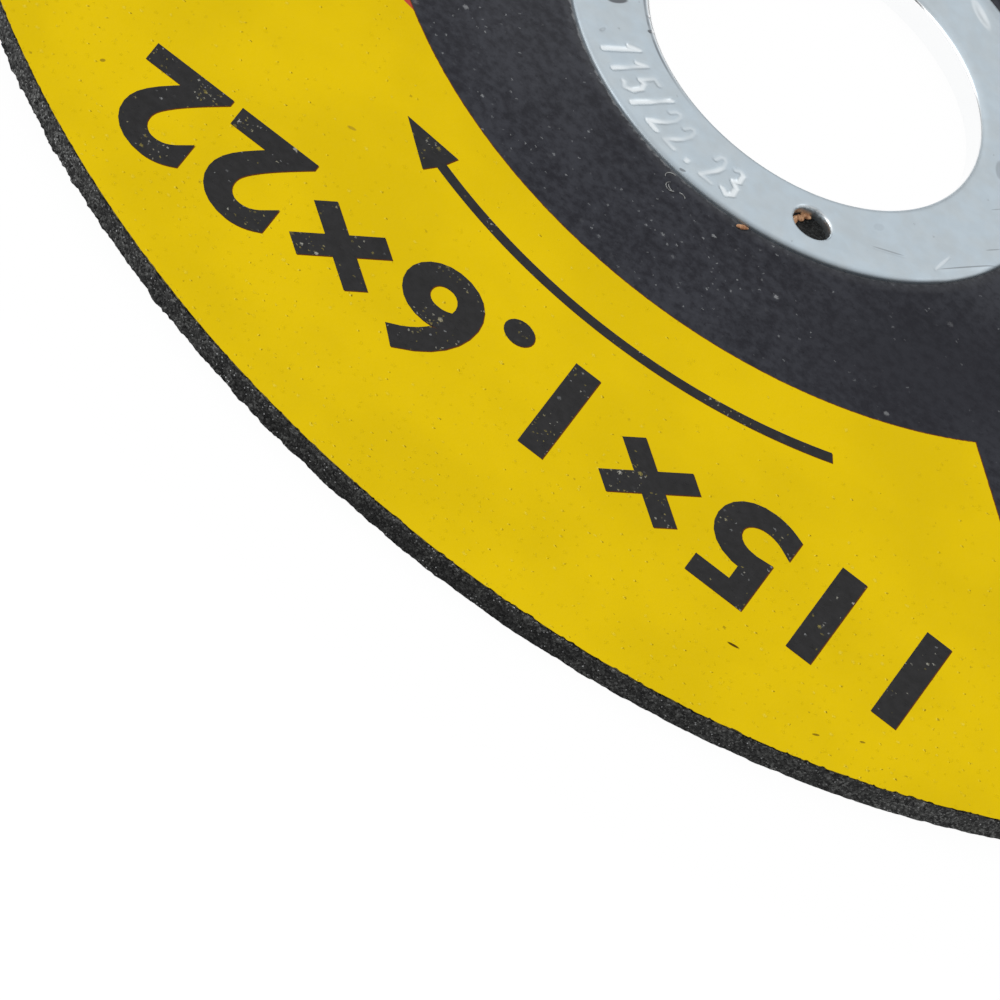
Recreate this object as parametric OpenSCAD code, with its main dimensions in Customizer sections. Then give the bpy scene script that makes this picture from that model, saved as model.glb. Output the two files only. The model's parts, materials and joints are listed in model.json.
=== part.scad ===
// Thin cut-off wheel for an angle grinder: a resin-bonded abrasive disc, a printed paper
// label over its front face and a pressed steel ring that lines the bore.
// The wheel lies on its back face. The origin is the centre of that face, and +Z points
// out of the labelled front.

/* [Wheel] */
// Outside diameter of the wheel
wheel_d = 115; // [76:0.5:230]
// Thickness of the wheel at the rim, with its label
wheel_t = 1.6; // [1:0.1:3.2]
// Thickness of the paper label
label_t = 0.1; // [0.05:0.01:0.2]

/* [Centre ring] */
// Diameter of the bore that the spindle goes through
bore_d = 22.23; // [16:0.01:25.4]
// Outside diameter of the ring's flange
ring_d = 33; // [30:0.5:40]
// Thickness of the ring's sheet steel
ring_sheet = 0.5; // [0.4:0.05:0.6]
// Radius on the upper outside edge of the flange
flange_edge_r = 0.3; // [0.1:0.05:0.35]
// Distance from the wheel's back face to the end of the ring's collar
collar_inset = 0.1; // [0.05:0.05:0.3]

/* [Ring holes] */
// Number of pierced holes in the flange
hole_n = 4; // [2:1:8]
// Flat of the flange left between the collar and a hole's turned-down edge
hole_margin = 0.75; // [0.5:0.05:1]
// Angle of the first hole about the axis
hole_angle = -66.5; // [-90:0.5:90]
// Radius rolled onto the upper edge of a hole
hole_edge_r = 0.25; // [0.1:0.05:0.3]
// Wall thickness of the edge that piercing turns down
claw_wall = 0.2; // [0.1:0.05:0.3]
// Depth that the turned-down edge reaches below the flange
claw_depth = 0.3; // [0.25:0.05:0.6]

/* [Hidden] */
$fn = 128;
wheel_r = wheel_d / 2;
bore_r = bore_d / 2;
ring_r = ring_d / 2;
disc_t = wheel_t - label_t;
// The disc and the label are moulded round the collar and the claws, with no clearance
collar_r = bore_r + ring_sheet;
// The holes lie along the middle of the flange, and are as large as the flat beside them allows
hole_circle_r = (bore_r + ring_r) / 2;
claw_r = hole_circle_r - collar_r - hole_margin;
hole_r = claw_r - claw_wall;
flange_top = wheel_t + ring_sheet;
hole_floor = wheel_t - claw_depth;
cut = 1;

// Places its children at each pierced hole of the flange
module at_holes() {
    for (i = [0 : hole_n - 1])
        rotate([0, 0, hole_angle + i * 360 / hole_n])
            translate([hole_circle_r, 0, 0])
                children();
}

// Pockets that the turned-down hole edges fill
module claw_pockets() {
    at_holes()
        translate([0, 0, hole_floor])
            cylinder(r = claw_r, h = claw_depth + cut);
}

// A flat annulus from the collar to the rim, with room for the claws
module moulded_layer(base, thickness) {
    difference() {
        translate([0, 0, base])
            cylinder(r = wheel_r, h = thickness);
        translate([0, 0, base - cut])
            cylinder(r = collar_r, h = thickness + 2 * cut);
        claw_pockets();
    }
}

// Half section of the ring: collar, rounded lip and flange with its rounded edge
module ring_section() {
    translate([bore_r, collar_inset])
        square([ring_sheet, wheel_t - collar_inset]);
    intersection() {
        translate([collar_r, wheel_t])
            circle(r = ring_sheet);
        translate([bore_r, wheel_t])
            square(ring_sheet);
    }
    translate([collar_r, wheel_t])
        square([ring_r - flange_edge_r - collar_r, ring_sheet]);
    translate([ring_r - flange_edge_r, wheel_t])
        square([flange_edge_r, ring_sheet - flange_edge_r]);
    intersection() {
        translate([ring_r - flange_edge_r, flange_top - flange_edge_r])
            circle(r = flange_edge_r);
        translate([ring_r - flange_edge_r, flange_top - flange_edge_r])
            square(flange_edge_r);
    }
}

// Everything that piercing takes out of the flange at one hole, with its rolled edge
module pierced_hole() {
    translate([0, 0, hole_floor - cut])
        cylinder(r = hole_r, h = claw_depth + ring_sheet + 2 * cut);
    rotate_extrude()
        difference() {
            translate([0, flange_top - hole_edge_r])
                square([hole_r + hole_edge_r, hole_edge_r + cut]);
            translate([hole_r + hole_edge_r, flange_top - hole_edge_r])
                circle(r = hole_edge_r);
        }
}

module abrasive_disc() {
    color([0.17, 0.175, 0.165])
        moulded_layer(0, disc_t);
}

module label() {
    color([0.87, 0.75, 0.06])
        moulded_layer(disc_t, label_t);
}

module centre_ring() {
    color([0.73, 0.76, 0.79])
        difference() {
            union() {
                rotate_extrude()
                    ring_section();
                at_holes()
                    translate([0, 0, hole_floor])
                        cylinder(r = claw_r, h = claw_depth + ring_sheet / 2);
            }
            at_holes()
                pierced_hole();
        }
}

abrasive_disc();
label();
centre_ring();
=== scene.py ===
import json
import math
import random
import bmesh
import bpy
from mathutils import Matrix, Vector, noise


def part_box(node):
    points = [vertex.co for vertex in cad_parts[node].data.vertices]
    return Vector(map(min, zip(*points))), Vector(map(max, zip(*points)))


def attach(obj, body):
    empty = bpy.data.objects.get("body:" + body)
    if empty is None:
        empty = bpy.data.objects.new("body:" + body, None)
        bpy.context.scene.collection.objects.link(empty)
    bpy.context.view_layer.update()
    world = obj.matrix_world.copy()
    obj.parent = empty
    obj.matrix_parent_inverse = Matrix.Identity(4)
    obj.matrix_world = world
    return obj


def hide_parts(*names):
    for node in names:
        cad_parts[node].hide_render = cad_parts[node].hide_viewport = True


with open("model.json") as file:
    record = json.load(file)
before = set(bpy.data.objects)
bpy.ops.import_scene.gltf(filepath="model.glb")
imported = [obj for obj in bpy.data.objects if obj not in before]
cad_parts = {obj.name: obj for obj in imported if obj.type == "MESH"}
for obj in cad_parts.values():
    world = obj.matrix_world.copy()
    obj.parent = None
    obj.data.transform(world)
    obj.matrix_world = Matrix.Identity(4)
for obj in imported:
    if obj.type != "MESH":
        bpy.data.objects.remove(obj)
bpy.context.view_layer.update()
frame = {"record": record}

mm = 0.001
tiny = 1e-6

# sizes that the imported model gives, in metres
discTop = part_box("abrasive_disc")[1].z
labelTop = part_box("label")[1].z
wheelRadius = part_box("label")[1].x
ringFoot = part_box("centre_ring")[0].z
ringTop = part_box("centre_ring")[1].z
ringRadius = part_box("centre_ring")[1].x
boreMount = next(m for m in frame["record"]["mounts"] if m["name"] == "bore")
boreRadius = boreMount["dims"]["r_mm"] * mm
sheet = ringTop - labelTop
collarRadius = boreRadius + sheet
labelThick = labelTop - discTop


def clearSelection():
    if bpy.context.object and bpy.context.object.mode != "OBJECT":
        bpy.ops.object.mode_set(mode="OBJECT")
    bpy.ops.object.select_all(action="DESELECT")


def takeUp(*pieces):
    clearSelection()
    for piece in pieces:
        piece.select_set(True)
    bpy.context.view_layer.objects.active = pieces[0]


def namePiece(name):
    piece = bpy.context.object
    piece.name = name
    piece.data.name = name
    return piece


def startEdit(piece):
    takeUp(piece)
    bpy.ops.object.mode_set(mode="EDIT")
    bpy.ops.mesh.select_mode(type="VERT")
    bpy.ops.mesh.select_all(action="SELECT")


def endEdit():
    bpy.ops.object.mode_set(mode="OBJECT")


# selects in edit mode what lies where the test says
def pickVerts(test):
    work = bmesh.from_edit_mesh(bpy.context.edit_object.data)
    for vertex in work.verts:
        vertex.select = test(vertex.co)
    work.select_flush_mode()
    bmesh.update_edit_mesh(bpy.context.edit_object.data)


def applyPlace(piece):
    takeUp(piece)
    bpy.ops.object.transform_apply(location=True, rotation=True, scale=True)


def applyModifiers(piece):
    takeUp(piece)
    for modifier in list(piece.modifiers):
        bpy.ops.object.modifier_apply(modifier=modifier.name)


def combine(piece, tool, operation):
    boolean = piece.modifiers.new("combine", "BOOLEAN")
    boolean.operation = operation
    boolean.solver = "MANIFOLD"
    boolean.object = tool
    applyModifiers(piece)
    bpy.data.objects.remove(tool, do_unlink=True)


def joinPieces(pieces, name):
    takeUp(*pieces)
    bpy.ops.object.join()
    return namePiece(name)


def fixNormals(piece, merge=1e-7):
    startEdit(piece)
    bpy.ops.mesh.remove_doubles(threshold=merge)
    bpy.ops.mesh.normals_make_consistent(inside=False)
    if bmesh.from_edit_mesh(piece.data).calc_volume(signed=True) < 0:
        bpy.ops.mesh.flip_normals()
    endEdit()


def smoothUnder(piece, degrees):
    takeUp(piece)
    bpy.ops.object.shade_smooth_by_angle(angle=math.radians(degrees))


def onCircle(radius, degrees, height=0.0):
    turn = math.radians(degrees)
    return Vector((radius * math.cos(turn), radius * math.sin(turn), height))


def smoothStep(low, high, value):
    share = min(max((value - low) / (high - low), 0.0), 1.0)
    return share * share * (3 - 2 * share)


# links a node's output to a socket, or sets the socket's own value
def feed(tree, socket, value):
    if isinstance(value, bpy.types.NodeSocket):
        tree.links.new(value, socket)
    else:
        socket.default_value = value


def put(tree, kind, links=None, **settings):
    made = tree.nodes.new(kind)
    for name, value in settings.items():
        setattr(made, name, value)
    for key, value in (links or {}).items():
        feed(tree, made.inputs[key], value)
    return made


def calc(tree, operation, *values):
    return put(tree, "ShaderNodeMath", dict(enumerate(values)), operation=operation).outputs[0]


def times(tree, first, second):
    return calc(tree, "MULTIPLY", first, second)


def timesPlus(tree, first, second, added):
    return calc(tree, "MULTIPLY_ADD", first, second, added)


def vectorMath(tree, operation, *values, output=0):
    links = dict(enumerate(values))
    return put(tree, "ShaderNodeVectorMath", links, operation=operation).outputs[output]


def scaled(tree, vector, factor):
    return put(tree, "ShaderNodeVectorMath", {0: vector, 3: factor}, operation="SCALE").outputs[0]


def vectorLength(tree, vector):
    return vectorMath(tree, "LENGTH", vector, output=1)


# the same place on the plane of the wheel
def flattened(tree, vector):
    return vectorMath(tree, "MULTIPLY", vector, (1, 1, 0))


def splitPlace(tree, vector):
    return put(tree, "ShaderNodeSeparateXYZ", {0: vector}).outputs


def ramp(tree, value, low, high, start=0.0, end=1.0):
    links = {"Value": value, "From Min": low, "From Max": high, "To Min": start, "To Max": end}
    return put(tree, "ShaderNodeMapRange", links, interpolation_type="SMOOTHSTEP").outputs["Result"]


def blendColour(tree, share, first, second, blend="MIX"):
    made = put(tree, "ShaderNodeMix", {"Factor": share}, data_type="RGBA", blend_type=blend)
    for slot, value in ((6, first), (7, second)):  # the colour sockets of the node
        feed(tree, made.inputs[slot], (*value, 1.0) if isinstance(value, tuple) else value)
    return made.outputs[2]


def noiseAt(tree, vector, scale, detail=2.0, rough=0.5, space="3D"):
    links = {"Vector": vector, "Scale": scale, "Detail": detail, "Roughness": rough}
    return put(tree, "ShaderNodeTexNoise", links, noise_dimensions=space).outputs[0]


def flatNoise(tree, vector, scale, detail=2.0, rough=0.5):
    return noiseAt(tree, vector, scale, detail, rough, "2D")


def addBump(tree, shader, height, strength, distance):
    links = {"Strength": strength, "Distance": distance, "Height": height}
    tree.links.new(put(tree, "ShaderNodeBump", links).outputs[0], shader.inputs["Normal"])


def startGroup(name, inputs, outputs):
    tree = bpy.data.node_groups.new(name, "ShaderNodeTree")
    for label, kind in inputs:
        tree.interface.new_socket(name=label, in_out="INPUT", socket_type="NodeSocket" + kind)
    for label, kind in outputs:
        tree.interface.new_socket(name=label, in_out="OUTPUT", socket_type="NodeSocket" + kind)
    return tree, tree.nodes.new("NodeGroupInput").outputs, tree.nodes.new("NodeGroupOutput").inputs


def useGroup(tree, group, links):
    return put(tree, "ShaderNodeGroup", links, node_tree=group).outputs


def startMaterial(name):
    material = bpy.data.materials.new(name)
    material.use_nodes = True
    tree = material.node_tree
    place = tree.nodes.new("ShaderNodeTexCoord").outputs["Object"]
    return material, tree, tree.nodes["Principled BSDF"], scaled(tree, place, 1000.0)


def wear(piece, material):
    piece.data.materials.clear()
    piece.data.materials.append(material)


# loose specks: one in each cell of a random pattern, of which only a share is there
def makeSpeckGroup():
    inputs = [("Vector", "Vector"), ("Cell", "Float"), ("Share", "Float"), ("Radius", "Float")]
    outputs = [("Mask", "Float"), ("Swell", "Float"), ("Pick", "Float")]
    tree, into, out = startGroup("looseSpecks", inputs, outputs)
    links = {"Vector": into["Vector"], "Scale": 9.0, "Detail": 1.0}
    wobble = put(tree, "ShaderNodeTexNoise", links, noise_dimensions="2D")
    shift = scaled(tree, wobble.outputs["Color"], 0.2)
    scale = calc(tree, "DIVIDE", 1.0, into["Cell"])
    links = {"Vector": vectorMath(tree, "ADD", into["Vector"], shift), "Scale": scale}
    cells = put(tree, "ShaderNodeTexVoronoi", links, voronoi_dimensions="2D")
    chance = put(tree, "ShaderNodeSeparateColor", {0: cells.outputs["Color"]}).outputs
    reach = times(tree, into["Radius"], timesPlus(tree, chance[1], 0.7, 0.3))
    away = times(tree, cells.outputs["Distance"], into["Cell"])
    away = calc(tree, "DIVIDE", away, reach)
    ragged = calc(tree, "SUBTRACT", flatNoise(tree, into["Vector"], 13.0, 1.0), 0.5)
    away = timesPlus(tree, ragged, 1.6, away)
    there = calc(tree, "LESS_THAN", chance[0], into["Share"])
    tree.links.new(times(tree, there, ramp(tree, away, 1.1, 0.6)), out["Mask"])
    tree.links.new(times(tree, there, ramp(tree, away, 1.7, 0.0)), out["Swell"])
    tree.links.new(chance[2], out["Pick"])
    return tree


speckGroup = makeSpeckGroup()


def specks(tree, vector, cell, share, radius):
    links = {"Vector": vector, "Cell": cell, "Share": share, "Radius": radius}
    return useGroup(tree, speckGroup, links)


# matte printed paper: grit pressed up through it, pinholes painted dark as shade with a painted
# highlight beside them, lone grit specks given painted highlights, a soft unevenness
def makePaperGroup():
    outputs = [("Height", "Float"), ("PitShadeMask", "Float"), ("HighlightMask", "Float"), ("Tone", "Float")]
    tree, into, out = startGroup("pressedPaper", [("Vector", "Vector")], outputs)
    reach = vectorLength(tree, into["Vector"])
    share = timesPlus(tree, ramp(tree, reach, 30.0, 56.0), 0.4, 0.18)
    pitAt = (0.95, share, 0.066)
    pits = specks(tree, into["Vector"], *pitAt)
    # a shifted copy of the pinholes, where their painted highlight goes
    highlightSide = specks(tree, vectorMath(tree, "ADD", into["Vector"], (0.09, 0.05, 0)), *pitAt)
    large = specks(tree, into["Vector"], 3.1, 0.4, 0.12)
    grit = specks(tree, into["Vector"], 0.8, share, 0.14)
    grain = flatNoise(tree, into["Vector"], 2.6, 2.0, 0.6)
    rise = timesPlus(tree, grit["Swell"], 0.9, times(tree, grain, 0.4))
    tree.links.new(calc(tree, "SUBTRACT", rise, times(tree, pits["Swell"], 0.8)), out["Height"])
    # pinholes and larger spots darkened as painted shade
    small = times(tree, pits["Mask"], ramp(tree, pits["Pick"], 0.1, 1.0, 0.1, 0.8))
    big = times(tree, large["Mask"], ramp(tree, large["Pick"], 0.2, 1.0, 0.0, 0.6))
    tree.links.new(calc(tree, "MAXIMUM", small, big), out["PitShadeMask"])
    side = times(tree, highlightSide["Mask"], highlightSide["Pick"])
    # lone grit specks lightened as painted highlights
    lone = times(tree, grit["Mask"], ramp(tree, grit["Pick"], 0.65, 1.0, 0.0, 0.5))
    tree.links.new(calc(tree, "MAXIMUM", side, lone), out["HighlightMask"])
    tree.links.new(flatNoise(tree, into["Vector"], 0.09, 3.0, 0.55), out["Tone"])
    return tree


paperGroup = makePaperGroup()


# pale dust on dark print, thicker in some patches than in others, over a soft mottle
def makeDustGroup():
    inputs = [("Vector", "Vector"), ("Amount", "Float")]
    outputs = [("Dust", "Float"), ("Mottle", "Float"), ("Rise", "Float")]
    tree, into, out = startGroup("paleDust", inputs, outputs)
    patch = ramp(tree, flatNoise(tree, into["Vector"], 0.4, 2.0), 0.38, 0.62, 0.05, 1.0)
    share = times(tree, into["Amount"], patch)
    fine = specks(tree, into["Vector"], 0.5, share, 0.09)
    large = specks(tree, into["Vector"], 1.3, share, 0.2)
    fineShow = times(tree, fine["Mask"], ramp(tree, fine["Pick"], 0.1, 1.0, 0.03, 0.4))
    core = times(tree, large["Mask"], ramp(tree, large["Pick"], 0.3, 1.0, 0.03, 0.55))
    haze = times(tree, large["Swell"], ramp(tree, large["Pick"], 0.0, 1.0, 0.02, 0.11))
    tree.links.new(calc(tree, "MAXIMUM", fineShow, calc(tree, "MAXIMUM", core, haze)), out["Dust"])
    fineMottle = flatNoise(tree, into["Vector"], 1.5, 3.0, 0.65)
    wideMottle = flatNoise(tree, into["Vector"], 0.2, 3.0, 0.6)
    both = timesPlus(tree, fineMottle, 0.5, timesPlus(tree, wideMottle, 0.25, 0.125))
    pores = specks(tree, into["Vector"], 0.7, 0.3, 0.13)
    both = timesPlus(tree, pores["Mask"], -0.1, both)
    tree.links.new(ramp(tree, both, 0.36, 0.62), out["Mottle"])
    tree.links.new(fineMottle, out["Rise"])
    return tree


dustGroup = makeDustGroup()


# one mark on a surface: its place and half sizes in millimetres, its turn and its strength
def mark(at, half, turn, show, **more):
    return {"at": at, "half": half, "turn": turn, "show": show, **more}


# soft-edged oval of a mark
def spotMask(tree, x, y, spot, outer=1.15, inner=0.75):
    turn = math.radians(spot["turn"])
    offX = calc(tree, "SUBTRACT", x, spot["at"][0])
    offY = calc(tree, "SUBTRACT", y, spot["at"][1])
    along = timesPlus(tree, offX, math.cos(turn), times(tree, offY, math.sin(turn)))
    across = timesPlus(tree, offY, math.cos(turn), times(tree, offX, -math.sin(turn)))
    along = calc(tree, "DIVIDE", along, spot["half"][0])
    across = calc(tree, "DIVIDE", across, spot["half"][1])
    away = calc(tree, "SQRT", timesPlus(tree, along, along, times(tree, across, across)))
    return times(tree, ramp(tree, away, outer, inner), spot["show"])


# label print, in millimetres about the wheel's axis
labelPrint = {
    "yellow": (0.745, 0.524, 0.0010),
    # painted highlight beside the pinholes and on lone grit specks
    "paintedHighlight": (0.86, 0.72, 0.10),
    # painted shade inside the pinholes
    "paintedPitShade": (0.16, 0.10, 0.006),
    "black": (0.0435, 0.0455, 0.0545),
    "deep": (0.022, 0.0225, 0.028),
    "numberBlack": (0.0225, 0.0222, 0.0232),
    "numberDeep": (0.0115, 0.0113, 0.0118),
    "red": (0.50, 0.070, 0.046),
    "fringe": (0.16, 0.045, 0.006),
    "dust": (0.40, 0.41, 0.42),
    "chipYellow": (0.52, 0.42, 0.07),  # paper that shows where the numbers' ink let go
    "chipGrey": (0.45, 0.44, 0.38),
    "fibreDeep": (0.02, 0.018, 0.014),  # cut edge of the paper
    "fibrePale": (0.20, 0.17, 0.08),
    "cutDepth": 0.015,  # how far below the face the cut edge starts to show
    "gloss": 0.03,
    "numberGloss": 0.14,
    "fringeGloss": 0.05,
    "middleRadius": 30.11,
    "middleCentre": (0.24, 2.8, 0.0),  # the dark middle is printed off the axis
    "blackCorner": (20.74, -19.14),
    "blackEdgeTurn": -49.6,  # direction of the straight edge that leaves the corner
    "redCorner": (-20.31, -19.17),
    "redEdgeTurn": 168.0,
    "redWidth": 9.0,
    "fringeWidth": 0.07,
    "dustBase": 0.15,
    "ringDustAndLight": 0.06,  # dust around the ring, also painted light that lifts the ring's contact shadow
    "collar": 0.17,  # widest of the ragged dust packed along the ring's edge, in millimetres; its pale colour is also painted light over the ring's contact shadow
    # painted shade: one patch of the dark print darkened towards its deepest colour
    "shadedPatch": mark((17.0, -16.0), (10.0, 6.0), 45, 0.6),
    "haze": [  # thin even dust over the dark print
        mark((-15.0, -11.5), (9.5, 9.5), 0, 0.030),
        mark((17.5, -5.0), (4.0, 4.0), 0, 0.020),
    ],
    "dustPatches": [
        mark((-1.6, -22.4), (9.0, 4.6), 20, 0.42),
        mark((-16.7, -19.4), (6.5, 4.0), 60, 0.22),
        mark((6.0, 24.0), (8.0, 4.0), 0, 0.3),
    ],
    "flecks": [
        mark((16.44, -47.97), (0.40, 0.11), 14, 0.95, colour=(0.055, 0.02, 0.002)),
        mark((23.26, -49.87), (0.26, 0.09), 40, 0.75, colour=(0.12, 0.06, 0.004)),
        mark((25.67, -47.83), (0.20, 0.08), 39, 0.7, colour=(0.14, 0.07, 0.004)),
        mark((-32.60, -40.54), (0.22, 0.12), 60, 0.7, colour=(0.20, 0.12, 0.01)),
        mark((-19.00, -31.49), (0.30, 0.14), 20, 0.5, colour=(0.24, 0.15, 0.02)),
    ],
}


# signed distance of a point from a straight edge, positive to the left of its direction
def edgeDistance(tree, x, y, corner, degrees):
    turn = math.radians(degrees)
    across = times(tree, calc(tree, "SUBTRACT", x, corner[0]), -math.sin(turn))
    return timesPlus(tree, calc(tree, "SUBTRACT", y, corner[1]), math.cos(turn), across)


# black ink with its mottle and dust
def blackInk(tree, flat, amount, deep, black):
    dust = useGroup(tree, dustGroup, {"Vector": flat, "Amount": amount})
    colour = blendColour(tree, dust["Mottle"], deep, black)
    return blendColour(tree, dust["Dust"], colour, labelPrint["dust"]), dust


def makeLabelPaper():
    ink = labelPrint
    material, tree, shader, inMm = startMaterial("printedLabelPaper")
    flat = flattened(tree, inMm)
    x, y, z = splitPlace(tree, inMm)
    reach = vectorLength(tree, flat)
    uneven = times(tree, calc(tree, "SUBTRACT", flatNoise(tree, flat, 3.0, 1.0), 0.5), 0.05)
    fromMiddle = vectorMath(tree, "DISTANCE", flat, ink["middleCentre"], output=1)
    radius = calc(tree, "ADD", fromMiddle, uneven)
    intoBlack = edgeDistance(tree, x, y, ink["blackCorner"], ink["blackEdgeTurn"])
    intoBlack = calc(tree, "ADD", intoBlack, uneven)
    intoRed = times(tree, edgeDistance(tree, x, y, ink["redCorner"], ink["redEdgeTurn"]), -1.0)
    leftHalf = calc(tree, "LESS_THAN", x, 0.0)

    # dark print: the middle, the side past the straight edge, and what lies past the red band
    def darkPrint(spread):
        middle = calc(tree, "LESS_THAN", radius, ink["middleRadius"] + spread)
        side = calc(tree, "GREATER_THAN", intoBlack, -spread)
        pastRed = times(tree, calc(tree, "GREATER_THAN", intoRed, ink["redWidth"]), leftHalf)
        return calc(tree, "MAXIMUM", calc(tree, "MAXIMUM", middle, side), pastRed)

    dark = darkPrint(0.0)
    redBand = times(tree, calc(tree, "GREATER_THAN", intoRed, 0.0), leftHalf)
    paper = useGroup(tree, paperGroup, {"Vector": flat})
    colour = blendColour(tree, redBand, ink["yellow"], ink["red"])
    tone = ramp(tree, paper["Tone"], 0.3, 0.7, 0.95, 1.03)
    colour = blendColour(tree, 1.0, colour, tone, "MULTIPLY")
    # painted highlight, then painted shade of the pinholes
    colour = blendColour(tree, times(tree, paper["HighlightMask"], 0.6), colour, ink["paintedHighlight"])
    colour = blendColour(tree, paper["PitShadeMask"], colour, ink["paintedPitShade"])
    for fleck in ink["flecks"]:
        colour = blendColour(tree, spotMask(tree, x, y, fleck), colour, fleck["colour"])
    colour = blendColour(tree, darkPrint(ink["fringeWidth"]), colour, ink["fringe"])
    amount = ink["dustBase"]
    for patch in ink["dustPatches"]:
        amount = calc(tree, "ADD", spotMask(tree, x, y, patch, 1.6, 0.2), amount)
    black, dust = blackInk(tree, flat, amount, ink["deep"], ink["black"])
    ringMm = ringRadius / mm
    nearRing = ramp(tree, reach, ringMm + 0.9, ringMm + 0.1, 0.0, ink["ringDustAndLight"])
    # painted shade over one patch of the dark print
    black = blendColour(tree, spotMask(tree, x, y, ink["shadedPatch"], 1.6, 0.2), black, ink["deep"])
    # pale dust and painted light near the ring, over its contact shadow
    black = blendColour(tree, nearRing, black, ink["dust"])
    for haze in ink["haze"]:
        black = blendColour(tree, spotMask(tree, x, y, haze, 1.6, 0.0), black, ink["dust"])
    # ragged pale collar along the ring's edge: dust, and painted light over the contact shadow,
    # stronger on one side
    ragged = ramp(tree, flatNoise(tree, flat, 2.2, 2.0, 0.5), 0.3, 0.7, 0.0, ink["collar"])
    collar = calc(tree, "SUBTRACT", calc(tree, "SUBTRACT", reach, ringMm), ragged)
    collar = times(tree, ramp(tree, collar, 0.12, -0.12), ramp(tree, x, 4.0, -6.0, 0.10, 0.5))
    black = blendColour(tree, collar, black, ink["dust"])
    colour = blendColour(tree, dark, colour, black)
    cutEdge = calc(tree, "LESS_THAN", z, labelTop / mm - ink["cutDepth"])
    fibre = ramp(tree, noiseAt(tree, inMm, 3.0, 2.0), 0.4, 0.65)
    fibre = blendColour(tree, fibre, ink["fibreDeep"], ink["fibrePale"])
    colour = blendColour(tree, cutEdge, colour, fibre)
    tree.links.new(colour, shader.inputs["Base Color"])
    tree.links.new(ramp(tree, dust["Mottle"], 0.0, 1.0, 0.5, 0.62), shader.inputs["Roughness"])
    shader.inputs["Specular IOR Level"].default_value = ink["gloss"]
    height = timesPlus(tree, times(tree, dust["Rise"], 0.8), dark, paper["Height"])
    addBump(tree, shader, height, 0.6, 0.05 * mm)
    return material


# ink laid over the yellow: black that has let go in places
def makeSizeInk():
    ink = labelPrint
    material, tree, shader, inMm = startMaterial("sizeInk")
    flat = flattened(tree, inMm)
    colour, dust = blackInk(tree, flat, 0.12, ink["numberDeep"], ink["numberBlack"])
    worn = ramp(tree, flatNoise(tree, flat, 0.2, 2.0, 0.6), 0.48, 0.68, 0.015, 0.42)
    small = specks(tree, flat, 0.27, worn, 0.085)
    large = specks(tree, flat, 0.9, worn, 0.17)
    for chips, show in ((small, 0.55), (large, 0.7)):
        pale = ramp(tree, chips["Pick"], 0.4, 0.8)
        pale = blendColour(tree, pale, ink["chipYellow"], ink["chipGrey"])
        bare = times(tree, chips["Mask"], ramp(tree, chips["Pick"], 0.0, 1.0, 0.15, show))
        colour = blendColour(tree, bare, colour, pale)
    tree.links.new(colour, shader.inputs["Base Color"])
    tree.links.new(ramp(tree, dust["Mottle"], 0.0, 1.0, 0.5, 0.62), shader.inputs["Roughness"])
    paper = useGroup(tree, paperGroup, {"Vector": flat})
    addBump(tree, shader, paper["Height"], 0.6, 0.05 * mm)
    shader.inputs["Specular IOR Level"].default_value = ink["numberGloss"]
    return material


# the reddish edge of a print that is a hair out of register
def makeFringeInk():
    material, tree, shader, inMm = startMaterial("fringeInk")
    tone = noiseAt(tree, inMm, 2.0, 2.0)
    deep = tuple(0.5 * part for part in labelPrint["fringe"])
    tree.links.new(blendColour(tree, tone, labelPrint["fringe"], deep), shader.inputs["Base Color"])
    shader.inputs["Roughness"].default_value = 0.6
    shader.inputs["Specular IOR Level"].default_value = labelPrint["fringeGloss"]
    return material


abrasiveLook = {
    "dark": (0.0120, 0.0121, 0.0125),
    "grain": (0.36, 0.365, 0.355),
    # colour of the painted glints on bright grains
    "paintedGlint": (0.70, 0.71, 0.72),
    # painted shade in the pockets under the ring's holes
    "pocketShade": (0.004, 0.0045, 0.004),
    # painted shade: the rim darker below its top edge on the near side
    "shadedRimFront": mark((-4.0, -57.0), (24.0, 9.0), 0, 0.60),
    # painted light: the rim lighter on one side
    "litRimSide": mark((34.0, -46.0), (9.0, 9.0), 0, 0.32),
    "meshPitch": 2.4,  # threads of the glass mesh pressed into the back, in millimetres
    "coarseCells": 3.6,  # grains in a millimetre
    "fineCells": 8.6,
    "rimFromTo": (56.2, 57.0),  # radii between which the painted shade and painted light of the rim fade in
    "gloss": 0.14,
}


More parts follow.
